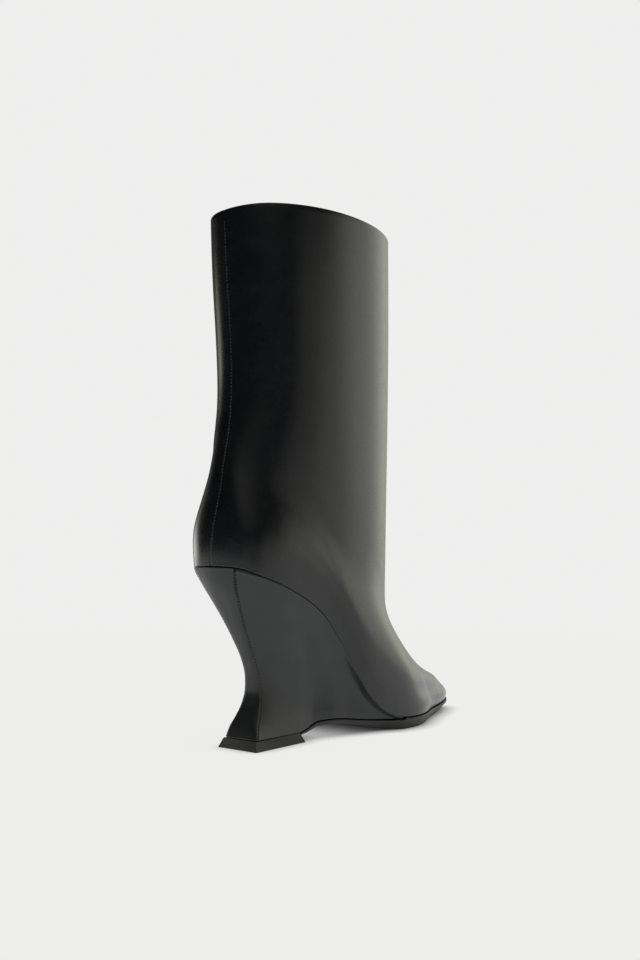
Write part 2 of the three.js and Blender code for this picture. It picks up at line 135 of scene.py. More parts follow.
# Columns, rows and stations of the meshes
COLUMNS = 360
UPPER_ROWS = 175
LOWER_RISES = (0, 0.0008, 0.002, 0.0035, 0.0055, 0.0085, 0.0125)
FIRST_EVEN_RISE = 0.018
FACING_START = 0.0015
FACING_ROWS = 5
HIDDEN_TOP = 0.93  # rise up to which the hidden side of the leather has rows
HIDDEN_ROWS = 30
LINING_TOP = 0.96
LINING_ROWS = 60
ROLL_STATIONS = 9
EDGE_STATIONS = 7
LIFT_STATIONS = 5
SEAM_SAMPLES = 900
PANEL_SAMPLES = 700
WEDGE_ROWS = 110
WEDGE_BACK = (0.16, 0.5, 0.8)  # columns from the middle of the hidden back to its corner
BASE_STATIONS = 40
SIDE_STATIONS = 100
SHARES_PER_METRE = 8  # about one over the length of the wedge's side
FIRST_EVEN_SHARE = 0.016
PANEL_STATIONS = 15
PANEL_INSET = 0.96  # share of the width that the panel's hidden side takes
ROLL_LIMIT = 0.55  # most of the panel's half width that its rolled corner takes
ARCH_STATIONS = 110
FORE_STATIONS = 190
FORE_END = 0.998  # the outsole's two sides stop just short of the toe's middle
FORE_PULL = 0.85  # below 1 brings the stations closer together towards the toe
TOE_TURN = 0.5


def table(names, *rows):
    """Named columns from rows of shares."""
    return dict(zip(names.split(), np.array(rows, float).T))


# Half widths of the sole's outline, as shares of the ball width, at equal turns from the back to the toe
OUTLINE = table(
    "outer inner",
    (0.0, 0.0),
    (0.242, 0.242),
    (0.362, 0.355),
    (0.401, 0.385),
    (0.411, 0.39),
    (0.437, 0.43),
    (0.468, 0.52),
    (0.305, 0.435),
    (0.186, 0.25),
    (0.076, 0.105),
    (-0.01, 0.01),
)

# The upper's lower edge: along is a share of the boot's length, rise a share of the climb to the heel
CLIMB = table(
    "along rise",
    (0, 1),
    (0.02, 0.988),
    (0.055, 0.951),
    (0.13, 0.879),
    (0.2, 0.799),
    (0.26, 0.707),
    (0.32, 0.553),
    (0.38, 0.37),
    (0.42, 0.247),
    (0.46, 0.15),
    (0.51, 0.0645),
    (0.565, 0.0125),
    (0.61, 0),
    (1, 0),
)

# Profile and girth of the upper's rings from the lower edge to the collar
PROFILE = table(
    "back back_up front front_up",
    (0.0025, 0, 0.998, 0),
    (0, 0.053, 1.002, 0.0148),
    (0.0032, 0.112, 0.956, 0.0395),
    (0.0101, 0.17, 0.913, 0.06),
    (0.0183, 0.223, 0.836, 0.075),
    (0.0275, 0.274, 0.745, 0.119),
    (0.0399, 0.33, 0.6725, 0.166),
    (0.0522, 0.388, 0.641, 0.208),
    (0.0623, 0.457, 0.6325, 0.288),
    (0.0673, 0.543, 0.628, 0.41),
    (0.0632, 0.665, 0.633, 0.584),
    (0.0522, 0.824, 0.635, 0.786),
    (0.0399, 1, 0.63, 1),
)
GIRTH = table(
    "wide round level heel toe",
    (0.5, 0, 0, 0, 0),
    (0.512, 0.19, 0, -0.05, 0.07),
    (0.5225, 0.35, 0.05, -0.088, 0.13),
    (0.523, 0.57, 0.23, -0.048, 0.18),
    (0.512, 0.765, 0.44, 0.022, 0.22),
    (0.489, 0.93, 0.6, 0.066, 0.22),
    (0.471, 0.965, 0.77, 0.055, 0.18),
    (0.475, 0.98, 0.885, -0.01, 0.12),
    (0.4895, 1, 0.95, -0.023, 0.06),
    (0.506, 1, 1, -0.005, 0.02),
    (0.5175, 1, 1, -0.02, 0.01),
    (0.531, 1, 1, -0.03, -0.01),
    (0.543, 1, 1, 0.05, -0.04),
)
COLLAR_WAVE = np.array([-1, 0.14, 0.77, 0.91, 0.73, 0.36, 0.09, -0.18, -0.55, -0.91])

# Back edge of the wedge from the top piece up
BACK_EDGE = table(
    "up set wide bulge",
    (0.0, 0.105, 0.405, 0.0008),
    (0.06, 0.112, 0.357, 0.0008),
    (0.12, 0.125, 0.298, 0.0008),
    (0.19, 0.137, 0.2385, 0.0008),
    (0.27, 0.143, 0.193, 0.0008),
    (0.36, 0.139, 0.163, 0.0008),
    (0.46, 0.124, 0.15, 0.0008),
    (0.57, 0.1, 0.174, 0.0008),
    (0.68, 0.075, 0.225, 0.001),
    (0.8, 0.048, 0.311, 0.002),
    (0.91, 0.0245, 0.4, 0.006),
    (1.0, 0.0105, 0.5, 0.0075),
)

# Lower edge of the wedge, from the top piece's front to the wedge's front end
ARCH = table(
    "along up wide",
    (0.0, 0.0, 0.42),
    (0.065, 0.008, 0.412),
    (0.139, 0.0285, 0.415),
    (0.22, 0.048, 0.47),
    (0.346, 0.052, 0.59),
    (0.48, 0.043, 0.66),
    (0.605, 0.0305, 0.735),
    (0.775, 0.018, 0.83),
    (0.88, 0.0126, 0.9),
    (1.0, 0.0105, 0.99),
)

# Underside of the outsole: along is a share of the boot's length, up a share of the heel height
UNDERSIDE = table(
    "along up",
    (0.262, 0.04),
    (0.3, 0.052),
    (0.33, 0.071),
    (0.37, 0.078),
    (0.42, 0.064),
    (0.47, 0.043),
    (0.52, 0.021),
    (0.57, 0.005),
    (0.605, 0.0),
    (1.0, 0.0),
)

# Where the back seam runs: turn off the upper's middle against rise
SEAM = table(
    "rise turn",
    (0, 0),
    (0.146, 0.004),
    (0.241, 0.009),
    (0.352, 0.014),
    (0.523, 0.013),
    (0.668, 0.005),
    (0.764, 0.001),
    (0.915, -0.002),
    (1, 0),
)

# Soft creases of the upper: middle, slant in degrees, then length, width and height in millimetres
CREASES = table(
    "turn rise slant long wide up",
    (-0.099, 0.612, 14, 7, 2.6, -0.5),
    (-0.094, 0.59, 8, 8, 3.2, 0.35),
    (-0.092, 0.66, 20, 9, 4, 0.25),
    (0.064, 0.9, -24, 6, 2.6, 0.16),
    (0.072, 0.889, -18, 5, 2.2, -0.12),
    (0.062, 0.978, 4, 7, 1.6, -0.07),
    (0.06, 0.966, -3, 8, 1.5, -0.08),
    (0.066, 0.954, 6, 6, 1.7, -0.06),
    (0.075, 0.857, 70, 6, 2.2, -0.07),
    (0.06, 0.752, 8, 9, 1.8, -0.08),
    (0.092, 0.742, -6, 9, 1.7, -0.09),
    (0.076, 0.722, 4, 10, 1.8, 0.07),
    (0.08, 0.7, 7, 9, 1.9, -0.09),
    (0.105, 0.694, -10, 8, 2, -0.06),
    (0.07, 0.36, 40, 8, 3, 0.12),
    (0.334, 0.215, 70, 14, 4.4, 0.25),
    (0.312, 0.225, 68, 14, 5, -0.14),
    (0.386, 0.185, 80, 8, 2.6, 0.1),
    (-0.054, 0.15, 0, 15, 14, 0.7),
    (-0.07, 0.585, 6, 7, 5, 0.3),
)

# Lobes of the studio light: azimuth from -Y towards +X and elevation in degrees, half width and strength
LOBES = table(
    "azimuth elevation half strength",
    (-76, -4, 27, 0.45),
    (-49, -1, 30, 0.62),
    (-21, 8, 42, 0.95),
    (9, 8, 42, 0.6),
    (39, 8, 42, 0.1),
    (86, -10, 24, 3.0),
    (-125, 42, 36, 0.22),
    (0, 90, 60, 0.5),
)

# Camera of the photo, with its long side 960 pixels
CAMERA_PLACE = (-0.3821, 0.4249, 0.1035)
CAMERA_HEADING = 38.893  # degrees from -Y towards +X
CAMERA_PITCH = 3.735
CAMERA_LENS = 39.765

# Pale floor and backdrop
PALE = (0.858, 0.858, 0.855)
FLOOR_PAINT = (0.12, 0.12, 0.12)
FLOOR_GLOW = 0.95  # the floor's own pale tone, which only the painted shadow near the sole takes away
FLOOR_FADE = (0.45, 1.0)  # distances from the boot between which the floor turns into the backdrop
FLOOR_REACH = 1.1  # beyond it the backdrop is seen, and the light from there is dark
PAINTED_SHADOW_REACH = 0.01  # reach of the painted shadow round what touches the floor, where ambient occlusion dims the floor's glow
LIGHT_TONE = (1.0, 1.0, 0.9)


def through(rows, key, column, x):
    """A smooth line through a table that never overshoots: column against key, at x."""
    xs, ys = rows[key], rows[column]
    steps = np.diff(xs)
    slopes = np.diff(ys) / steps
    tangents = np.concatenate([slopes[:1], np.zeros(len(slopes) - 1), slopes[-1:]])
    before, after = slopes[:-1], slopes[1:]
    same = before * after > 0
    tangents[1:-1][same] = 2 * (before * after)[same] / (before + after)[same]
    x = np.asarray(x, float)
    i = np.clip(np.searchsorted(xs, x, side="right") - 1, 0, len(steps) - 1)
    t = np.clip((x - xs[i]) / steps[i], 0, 1)
    value = ys[i] * (1 + 2 * t) * (1 - t) ** 2 + ys[i + 1] * t * t * (3 - 2 * t)
    bend = tangents[i] * t * (1 - t) ** 2 - tangents[i + 1] * t * t * (1 - t)
    return value + steps[i] * bend


def around(values, turn):
    """A smooth closed line through values at equal turns."""
    n = len(values)
    x = (turn - np.floor(turn)) * n
    i = np.floor(x).astype(int)
    t = x - i
    p, a, b, q = (values[(i + k) % n] for k in (-1, 0, 1, 2))
    bend = 2 * p - 5 * a + 4 * b - q
    twist = 3 * a - p - 3 * b + q
    return 0.5 * (2 * a + (b - p) * t + bend * t**2 + twist * t**3)


def mix(a, b, t):
    return a + (b - a) * t


def smoothstep(x, low, high):
    t = np.clip((x - low) / (high - low), 0, 1)
    return t * t * (3 - 2 * t)


def place(ahead, outward, height):
    ahead, outward, height = np.broadcast_arrays(ahead, outward, height)
    return np.stack([-outward, -ahead, height], -1).astype(float)


def unit(vectors):
    return vectors / np.maximum(np.linalg.norm(vectors, axis=-1, keepdims=True), 1e-12)


def ahead_of(share):
    return share * BOOT_LENGTH - HEEL_OVERHANG


def share_of(ahead):
    return (ahead + HEEL_OVERHANG) / BOOT_LENGTH


OUTLINE_ROUND = np.concatenate([OUTLINE["outer"], -OUTLINE["inner"][1:-1][::-1]])


def toe_part(share):
    return np.clip((share - SPRING_START) / (1 - SPRING_START), 0, None)


def spring_height(share):
    return TOE_SPRING * toe_part(share) ** SPRING_POWER


def sole_top(share):
    return spring_height(share) + mix(SOLE_THICKNESS, TOE_THICKNESS, np.minimum(1, toe_part(share)))


def feather_height(share):
    """Height of the upper's lower edge."""
    floor = sole_top(share) + FIT
    return floor + (HEEL_HEIGHT - floor) * through(CLIMB, "along", "rise", share)


FAIRING_STEPS = ((-1, 1 / 16), (-0.5, 4 / 16), (0, 6 / 16), (0.5, 4 / 16), (1, 1 / 16))
RINGS = {**PROFILE, **GIRTH, "rise": np.linspace(0, 1, len(PROFILE["back"]))}
FRONT_EDGE = RINGS["front"][0]
BACK_EDGE_OF_UPPER = RINGS["back"][0]


def upper_form(turn, rise):
    """Outside of the upper before fairing."""
    turn, rise = np.asarray(turn, float), np.asarray(rise, float)
    at = {column: through(RINGS, "rise", column, rise) for column in RINGS if column != "rise"}
    along = (1 - np.cos(2 * np.pi * turn)) / 2
    ahead = ahead_of(mix(at["back"], at["front"], along))
    across = np.sin(2 * np.pi * turn)
    shaft_base = SHAFT_WIDTH / 2 / RINGS["wide"][-1]
    width = mix(BALL_WIDTH, shaft_base, smoothstep(rise, SHAFT_START, 1)) * at["wide"] * 2
    ends = 1 - at["heel"] * (1 - along) ** 4 - at["toe"] * along**4
    outward = mix(around(OUTLINE_ROUND, turn), across / 2, at["round"]) * ends * width
    back_height = HEEL_HEIGHT + at["back_up"] * SHAFT_HEIGHT
    toe_height = feather_height(FRONT_EDGE)
    front_height = toe_height + at["front_up"] * (HEEL_HEIGHT + SHAFT_HEIGHT - toe_height)
    first = feather_height(BACK_EDGE_OF_UPPER)
    fall = (first - feather_height(mix(BACK_EDGE_OF_UPPER, FRONT_EDGE, along))) / (first - toe_height)
    wave = COLLAR_DIP * around(COLLAR_WAVE, turn) * smoothstep(rise, WAVE_START, 1)
    height = mix(back_height, front_height, mix(fall, along, at["level"])) + wave
    return place(ahead, outward, height)


def upper_outside(turn, rise):
    """Outside of the upper.

    Turn goes round from the back over the outer side, rise goes from 0 below to 1 at the collar.
    """
    rise = np.asarray(rise, float)
    reach = np.minimum(FAIRING, np.minimum(rise, 1 - rise))
    return sum(weight * upper_form(turn, rise + step * reach) for step, weight in FAIRING_STEPS)


def lower_edge(turn):
    return upper_form(turn, 0.0)


def upper_normal(turn, rise):
    """Outward direction of the upper's outside."""
    low = np.maximum(0, rise - NUDGE)
    high = np.minimum(1, rise + NUDGE)
    forwards = upper_outside(turn + NUDGE, rise) - upper_outside(turn - NUDGE, rise)
    upwards = upper_outside(turn, high) - upper_outside(turn, low)
    return unit(np.cross(forwards, upwards))


def footprint(turn, grow):
    """The sole's outline in plan at a turn, moved outwards by grow."""
    here = lower_edge(turn)
    along = lower_edge(turn + NUDGE) - lower_edge(turn - NUDGE)
    outwards = unit(np.stack([along[..., 1], -along[..., 0], np.zeros_like(along[..., 0])], -1))
    moved = here + outwards * grow
    moved[..., 2] = 0
    return moved


# Wedge


def turn_at(share):
    """The turn at which the upper's lower edge stands at a share of the boot's length, on the outer side."""
    part = (share - BACK_EDGE_OF_UPPER) / (FRONT_EDGE - BACK_EDGE_OF_UPPER)
    return np.arccos(1 - 2 * np.clip(part, 0, 1)) / (2 * np.pi)


def half_width(share, side):
    turn = turn_at(share)
    return np.abs(lower_edge(turn if side > 0 else 1 - turn)[..., 0])


WEDGE_BASE = TOP_PIECE_HEIGHT + FIT
BREAST = TOP_PIECE_LENGTH / 2 - TOP_PIECE_FLARE
BASE_SHARE = 0.28
ARCH_ROUND_SPAN = (0.2, BASE_SHARE + 0.03)


def wedge_top(share):
    return feather_height(share) - FIT


def arch_edge(q, side):
    """Lower edge of the wedge in front of the top piece."""
    ahead = mix(BREAST, ahead_of(WEDGE_FRONT), q)
    half = through(ARCH, "along", "wide", q) * half_width(share_of(ahead), side)
    return place(ahead, side * half, WEDGE_BASE + through(ARCH, "along", "up", q) * HEEL_HEIGHT)


def wedge_lower_edge(p, side):
    rear_set, rear_wide = BACK_EDGE["set"][0], BACK_EDGE["wide"][0]
    rear = place(ahead_of(rear_set), side * rear_wide * TOP_PIECE_WIDTH, WEDGE_BASE)
    p = np.asarray(p, float)[..., None]
    under = rear + (arch_edge(0.0, side) - rear) * np.minimum(p / BASE_SHARE, 1)
    fore = arch_edge(np.clip((p[..., 0] - BASE_SHARE) / (1 - BASE_SHARE), 0, 1), side)
    return np.where(p >= BASE_SHARE, fore, under)


FIRST_TURN = turn_at(BACK_EDGE["set"][-1])
LAST_TURN = turn_at(WEDGE_FRONT)


def wedge_upper_edge(p, side):
    turn = mix(FIRST_TURN, LAST_TURN, np.asarray(p, float))
    point = lower_edge(turn if side > 0 else 1 - turn)
    point[..., 2] = wedge_top(share_of(-point[..., 1]))
    return point


def wedge_corner(q, side):
    """Back corner of the wedge at a share of its height."""
    top = wedge_upper_edge(0.0, side)
    width = mix(TOP_PIECE_WIDTH, 2 * abs(top[0]), q)
    half = through(BACK_EDGE, "up", "wide", q) * width
    return place(ahead_of(through(BACK_EDGE, "up", "set", q)), side * half, mix(WEDGE_BASE, top[2], q))


def wedge_side(p, q, side):
    """Side of the wedge between its four edges: p goes from the back corner to the front end, q upwards."""
    p, q = np.broadcast_arrays(np.asarray(p, float), np.asarray(q, float))
    pc, qc = p[..., None], q[..., None]
    rims = mix(wedge_lower_edge(p, side), wedge_upper_edge(p, side), qc)
    front = mix(wedge_lower_edge(1.0, side), wedge_upper_edge(1.0, side), qc)
    ends = mix(wedge_corner(q, side), front, pc)
    below = mix(wedge_lower_edge(0.0, side), wedge_lower_edge(1.0, side), pc)
    above = mix(wedge_upper_edge(0.0, side), wedge_upper_edge(1.0, side), pc)
    return rims + ends - mix(below, above, qc)


def side_share(distance, q, side):
    """The share p at which the wedge's side is a distance in front of its back corner."""
    start = wedge_corner(q, side)[..., 1]
    share = np.full_like(start, FIRST_GUESS)
    for _ in range(GUESS_ROUNDS):
        gone = start - wedge_side(share, q, side)[..., 1]
        share = share * distance / gone if distance > 0 else 0 * share
    return share


def across_back(v, q, depth):
    """A point of the wedge's back, a depth in front of it; v runs from -1 inside to 1 outside."""
    v, q = np.asarray(v, float), np.asarray(q, float)
    outer = wedge_side(side_share(depth, q, 1), q, 1)
    inner = wedge_side(side_share(depth, q, -1), q, -1)
    corner = np.where(v[..., None] < 0, inner, outer)
    bulge = through(BACK_EDGE, "up", "bulge", q) * BOOT_LENGTH * (1 - v * v)
    ahead = -corner[..., 1] - bulge
    lift = wedge_top(share_of(ahead)) - wedge_top(share_of(-corner[..., 1]))
    return place(ahead, -corner[..., 0] * np.abs(v), corner[..., 2] + q * lift)


# Outsole


def sole_edge(turn, side):
    return footprint(turn if side > 0 else 1 - turn, SOLE_LIP)


def sole_side(side):
    """Plan, top and bottom of the outsole's edge from the top piece to the toe on one side."""
    start = BREAST_GAP / (ahead_of(WEDGE_FRONT) - BREAST)
    arch = arch_edge(np.linspace(start, 1, ARCH_STATIONS), side)
    share = share_of(-arch[:, 1])
    lip = SOLE_LIP * smoothstep(share, LIP_START, LIP_END)
    arch_plan = place(-arch[:, 1], -arch[:, 0] + side * lip, 0.0)
    step_foot = turn_at(WEDGE_FRONT + FIT / BOOT_LENGTH)
    step_head = turn_at(WEDGE_FRONT + 2 * FIT / BOOT_LENGTH)
    fore_turns = mix(step_head, TOE_TURN, np.linspace(0, FORE_END, FORE_STATIONS) ** FORE_PULL)
    fore_plan = sole_edge(fore_turns, side)
    plan = np.concatenate([arch_plan, sole_edge(np.array([step_foot]), side), fore_plan])
    for _ in range(PLAN_EASINGS):
        plan[1:-1] = (plan[:-2] + 2 * plan[1:-1] + plan[2:]) / 4
    step_top = arch_edge(1.0, side)[2] - FIT
    top = np.concatenate([arch[:, 2] - FIT, [step_top], feather_height(share_of(-fore_plan[:, 1])) - FIT])
    share = share_of(-plan[:, 1])
    return plan, top, through(UNDERSIDE, "along", "up", share) * HEEL_HEIGHT + spring_height(share)


# Meshes


def mesh_piece(name, points, faces, material):
    mesh = bpy.data.meshes.new(name)
    mesh.from_pydata(points.tolist(), [], faces)
    mesh.validate()
    mesh.update()
    piece = bpy.data.objects.new(name, mesh)
    bpy.context.scene.collection.objects.link(piece)
    mesh.materials.append(material)
    mesh.polygons.foreach_set("use_smooth", [True] * len(mesh.polygons))
    return piece


def band_faces(loops, columns, close=False):
    """Quads between neighbouring closed loops; close joins the last loop to the first."""
    loop = np.arange(loops if close else loops - 1)[:, None]
    column = np.arange(columns)[None, :]
    here = loop * columns
    above = ((loop + 1) % loops) * columns
    right = (column + 1) % columns
    quads = np.stack([here + column, here + right, above + right, above + column], -1)
    return quads.reshape(-1, 4).tolist()


def cap_faces(first, columns, up):
    """Strips across the end of a loop whose points pair up from its two ends."""
    faces = []
    for i in range(columns // 2 - 1):
        strip = [first + i, first + i + 1, first + columns - 2 - i, first + columns - 1 - i]
        faces.append(strip if up else strip[::-1])
    return faces


def solid(name, loops, material, close=False):
    """A closed mesh through loops of points, with both ends capped unless the loops close on themselves."""
    count, columns = loops.shape[:2]
    faces = band_faces(count, columns, close)
    capped = len(faces)
    if not close:
        faces += cap_faces(0, columns, False) + cap_faces((count - 1) * columns, columns, True)
    piece = mesh_piece(name, loops.reshape(-1, 3), faces, material)
    for polygon in piece.data.polygons[capped:]:
        polygon.use_smooth = False
    turn_outwards(piece, loops)
    return piece


def turn_outwards(piece, loops):
    """Turns the faces round if the volume that they enclose comes out negative."""
    mesh = piece.data
    mesh.calc_loop_triangles()
    points = loops.reshape(-1, 3)
    triangles = np.array([triangle.vertices for triangle in mesh.loop_triangles])
    a, b, c = (points[triangles[:, k]] for k in range(3))
    if np.einsum("ij,ij->i", a, np.cross(b, c)).sum() < 0:
        mesh.flip_normals()


def keep(piece, node):
    """Puts a finished piece under the root body in place of a CAD node, which it hides."""
    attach(piece, "root")
    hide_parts(node)


def rounding(distance, radius):
    """How far a rounded edge lies under the sharp one, at a distance from it."""
    short = radius - np.clip(distance, 0, radius)
    return radius - np.sqrt(np.maximum(radius**2 - short**2, 0))


def bump(x, middle, reach):
    return np.exp(-(((x - middle) / reach) ** 2))


def apart(a, b):
    return np.linalg.norm(a - b, axis=-1)


# Distances from an edge in metres
EDGE_STEPS = np.array([0, 0.0001, 0.00022, 0.00038, 0.00058, 0.00085, 0.0012])


def stitches(name, middles, alongs, outs, length, thick, material):
    """Short rounded stitches as one mesh, each with its length along the seam."""
    sides, rings = 8, 5
    sideways = unit(np.cross(alongs, outs))
    points, faces = [], []
    for middle, along, out, sideway in zip(middles, unit(alongs), unit(outs), sideways):
        first = len(points)
        points.append(middle - along * length / 2)
        for ring in range(1, rings + 1):
            angle = math.pi * ring / (rings + 1)
            centre = middle - along * math.cos(angle) * length / 2
            reach = math.sin(angle) ** STITCH_FULLNESS
            for k in range(sides):
                turn = 2 * math.pi * k / sides
                spoke = out * math.cos(turn) + sideway * math.sin(turn)
                points.append(centre + spoke * reach * thick / 2)
        points.append(middle + along * length / 2)
        last = len(points) - 1
        for k in range(sides):
            near = (k + 1) % sides
            faces.append([first, first + 1 + near, first + 1 + k])
            for ring in range(rings - 1):
                row = first + 1 + ring * sides
                faces.append([row + k, row + near, row + sides + near, row + sides + k])
            row = first + 1 + (rings - 1) * sides
            faces.append([row + k, row + near, last])
    return mesh_piece(name, np.array(points), faces, material)


# Materials
LEATHER_IOR = 1.45
RUBBER_IOR = 1.5
GLOSS_CHANGE = 0.03  # of the leathers' roughness either way
TOOTH_CHANGE = 0.06  # of the rubbers' roughness either way
CREASE_TO_GRAIN = 4  # depths as multiples of the grain's
SWELL_TO_GRAIN = 6


def new_material(name):
    material = bpy.data.materials.new(name)
    material.use_nodes = True
    tree = material.node_tree
    return material, tree, tree.nodes["Principled BSDF"]


def add(tree, kind, **settings):
    node = tree.nodes.new(kind)
    for key, value in settings.items():
        if key in node.inputs:
            node.inputs[key].default_value = value
        else:
            setattr(node, key, value)
    return node


def noise(tree, scale, detail=4.0, rough=0.55, stretch=(1, 1, 1)):
    coordinates = add(tree, "ShaderNodeTexCoord")
    mapping = add(tree, "ShaderNodeMapping", Scale=stretch)
    node = add(tree, "ShaderNodeTexNoise", Scale=scale, Detail=detail, Roughness=rough)
    tree.links.new(coordinates.outputs["Object"], mapping.inputs["Vector"])
    tree.links.new(mapping.outputs["Vector"], node.inputs["Vector"])
    return node.outputs["Fac"]


def spread(tree, value, low, high, start=0.3, end=0.7):
    """Maps a noise from its usual range to low and high."""
    node = add(tree, "ShaderNodeMapRange")
    node.inputs["From Min"].default_value = start
    node.inputs["From Max"].default_value = end
    node.inputs["To Min"].default_value = low
    node.inputs["To Max"].default_value = high
    tree.links.new(value, node.inputs["Value"])
    return node.outputs["Result"]


def cloudy(tree, shader, value, low, high):
    """Colours a surface between two tones by a noise."""
    ramp = add(tree, "ShaderNodeValToRGB")
    for element, tone, position in zip(ramp.color_ramp.elements, (low, high), (0.35, 0.65)):
        element.color = (*tone, 1)
        element.position = position
    tree.links.new(value, ramp.inputs["Fac"])
    tree.links.new(ramp.outputs["Color"], shader.inputs["Base Color"])


def relief(tree, height, distance, strength, under=None):
    node = add(tree, "ShaderNodeBump", Strength=strength, Distance=distance)
    tree.links.new(height, node.inputs["Height"])
    if under is not None:
        tree.links.new(under, node.inputs["Normal"])
    return node.outputs["Normal"]


def product(tree, a, b):
    node = add(tree, "ShaderNodeMath", operation="MULTIPLY")
    tree.links.new(a, node.inputs[0])
    tree.links.new(b, node.inputs[1])
    return node.outputs["Value"]


def leather(name, low, high, roughness, coat, coat_roughness, grain):
    """Smooth calf leather: grain, pores, slow swells, patches of fine creases and slow changes of gloss."""
    material, tree, shader = new_material(name)
    shader.inputs["IOR"].default_value = LEATHER_IOR
    shader.inputs["Coat Weight"].default_value = coat
    shader.inputs["Coat Roughness"].default_value = coat_roughness
    shader.inputs["Coat IOR"].default_value = LEATHER_IOR
    cloudy(tree, shader, noise(tree, scale=60.0, detail=3.0), low, high)
    gloss = spread(tree, noise(tree, scale=140.0), roughness - GLOSS_CHANGE, roughness + GLOSS_CHANGE)
    tree.links.new(gloss, shader.inputs["Roughness"])
    coordinates = add(tree, "ShaderNodeTexCoord")
    cells = add(tree, "ShaderNodeTexVoronoi", feature="DISTANCE_TO_EDGE", Scale=1500.0)
    tree.links.new(coordinates.outputs["Object"], cells.inputs["Vector"])
    cell_height = spread(tree, cells.outputs["Distance"], 0, 1, start=0, end=0.25)
    pebbles = relief(tree, cell_height, grain, strength=0.09)
    pores = noise(tree, scale=900.0, detail=5.0, rough=0.6)
    pored = relief(tree, pores, grain, strength=0.12, under=pebbles)
    creases = noise(tree, scale=330.0, detail=3.0, rough=0.6, stretch=(0.55, 0.55, 2.2))
    patches = spread(tree, noise(tree, scale=38.0, detail=2.0), 0, 1, start=0.52, end=0.66)
    creased = product(tree, creases, patches)
    fine = relief(tree, creased, grain * CREASE_TO_GRAIN, strength=0.18, under=pored)
    slow = noise(tree, scale=110.0, detail=2.0)
    swells = relief(tree, slow, grain * SWELL_TO_GRAIN, strength=0.12, under=fine)
    tree.links.new(swells, shader.inputs["Normal"])
    return material


def rubber(name, low, high, roughness, scale, depth):
    """Moulded rubber: matte, with a fine even tooth."""
    material, tree, shader = new_material(name)
    cloudy(tree, shader, noise(tree, scale=90.0), low, high)
    shader.inputs["IOR"].default_value = RUBBER_IOR
    tooth = noise(tree, scale, detail=5.0, rough=0.65)
    gloss = spread(tree, tooth, roughness - TOOTH_CHANGE, roughness + TOOTH_CHANGE)
    tree.links.new(gloss, shader.inputs["Roughness"])
    tree.links.new(relief(tree, tooth, depth, strength=0.4), shader.inputs["Normal"])
    return material


upper_leather = leather(
    "upper_leather",
    low=(0.0068, 0.0074, 0.009),
    high=(0.0095, 0.0103, 0.0122),
    roughness=0.27,
    coat=0.2,
    coat_roughness=0.12,
    grain=0.00003,
)
wedge_leather = leather(
    "wedge_leather",
    low=(0.017, 0.018, 0.0195),
    high=(0.022, 0.023, 0.025),
    roughness=0.36,
    coat=0.12,
    coat_roughness=0.2,
    grain=0.00003,
)
lining_leather = leather(
    "lining_leather",
    low=(0.016, 0.015, 0.014),
    high=(0.024, 0.0225, 0.021),
    roughness=0.6,
    coat=0.0,
    coat_roughness=0.3,
    grain=0.00002,
)
heel_rubber = rubber(
    "heel_rubber",
    low=(0.05, 0.05, 0.046),
    high=(0.064, 0.064, 0.059),
    roughness=0.5,
    scale=1400.0,
    depth=0.00002,
)
sole_rubber = rubber(
    "sole_rubber",
    low=(0.008, 0.008, 0.0085),
    high=(0.013, 0.013, 0.0135),
    roughness=0.5,
    scale=900.0,
    depth=0.00002,
)
thread_black = rubber(
    "thread_black",
    low=(0.05, 0.05, 0.05),
    high=(0.1, 0.1, 0.1),
    roughness=0.28,
    scale=3000.0,
    depth=0.00001,
)


# Upper: outer leather turned over at the collar, and the lining inside it


def upper_turns(rise, columns):
    """Turns round the upper, close together along the back seam."""
    even = np.arange(columns) / columns
    even = np.where(even > 0.5, even - 1, even)
    drawn = even - SEAM_PULL * SEAM_SPAN * np.tanh(even / SEAM_SPAN) * bump(even, 0, PULL_REACH)
    return drawn + through(SEAM, "rise", "turn", rise) * bump(drawn, 0, BEND_REACH), drawn


def seam_relief(surface, drawn, rise):
    """The closed seam down the back: a groove between two low ridges."""
    seam = upper_outside(through(SEAM, "rise", "turn", rise), rise)
    across = apart(surface, seam)
    groove = -SEAM_DEPTH * bump(across, 0, SEAM_REACH)
    ridges = SEAM_RIDGE * bump(across, RIDGE_PLACE, RIDGE_REACH)
    return np.where(np.abs(drawn) < SEAM_LIMIT, groove + ridges, 0.0)


def crease_relief(surface):
    """The soft creases, each in the plane that touches the upper at its middle."""
    total = np.zeros(surface.shape[:-1])
    for k in range(len(CREASES["turn"])):
        turn, rise, slant, long, wide, up = (column[k] for column in CREASES.values())
        middle = upper_outside(turn, rise)
        out = upper_normal(turn, rise)
        forwards = unit(np.cross(out, [0, 0, 1]))
        upwards = np.cross(forwards, out)
        from_middle = surface - middle
        a, b, c = (from_middle @ axis for axis in (forwards, upwards, out))
        slant = math.radians(slant)
        along = a * math.cos(slant) + b * math.sin(slant)
        aside = b * math.cos(slant) - a * math.sin(slant)
        spot = bump(along, 0, long * MM) * bump(aside, 0, wide * MM) * bump(c, 0, CREASE_DEPTH)
        total += up * MM * spot
    return total


def leather_surface(rises, depth):
    """The upper's leather at a depth under its outside, with seam, creases and a rounded lower edge."""
    turns, drawn = upper_turns(rises, COLUMNS)
    surface = upper_outside(turns, rises)
    edge = apart(surface, lower_edge(turns))
    lift = seam_relief(surface, drawn, rises) + crease_relief(surface)
    return surface + upper_normal(turns, rises) * (lift - rounding(edge, EDGE_ROUND) - depth)[..., None]


def rises_below_collar(drops):
    """The rises, one for each column, at each drop below the collar."""
    turns, _ = upper_turns(1.0, COLUMNS)
    slope = (upper_outside(turns, 1.0) - upper_outside(turns, 1 - SLOPE_SPAN))[:, 2] / SLOPE_SPAN
    return 1 - np.asarray(drops)[:, None] / slope


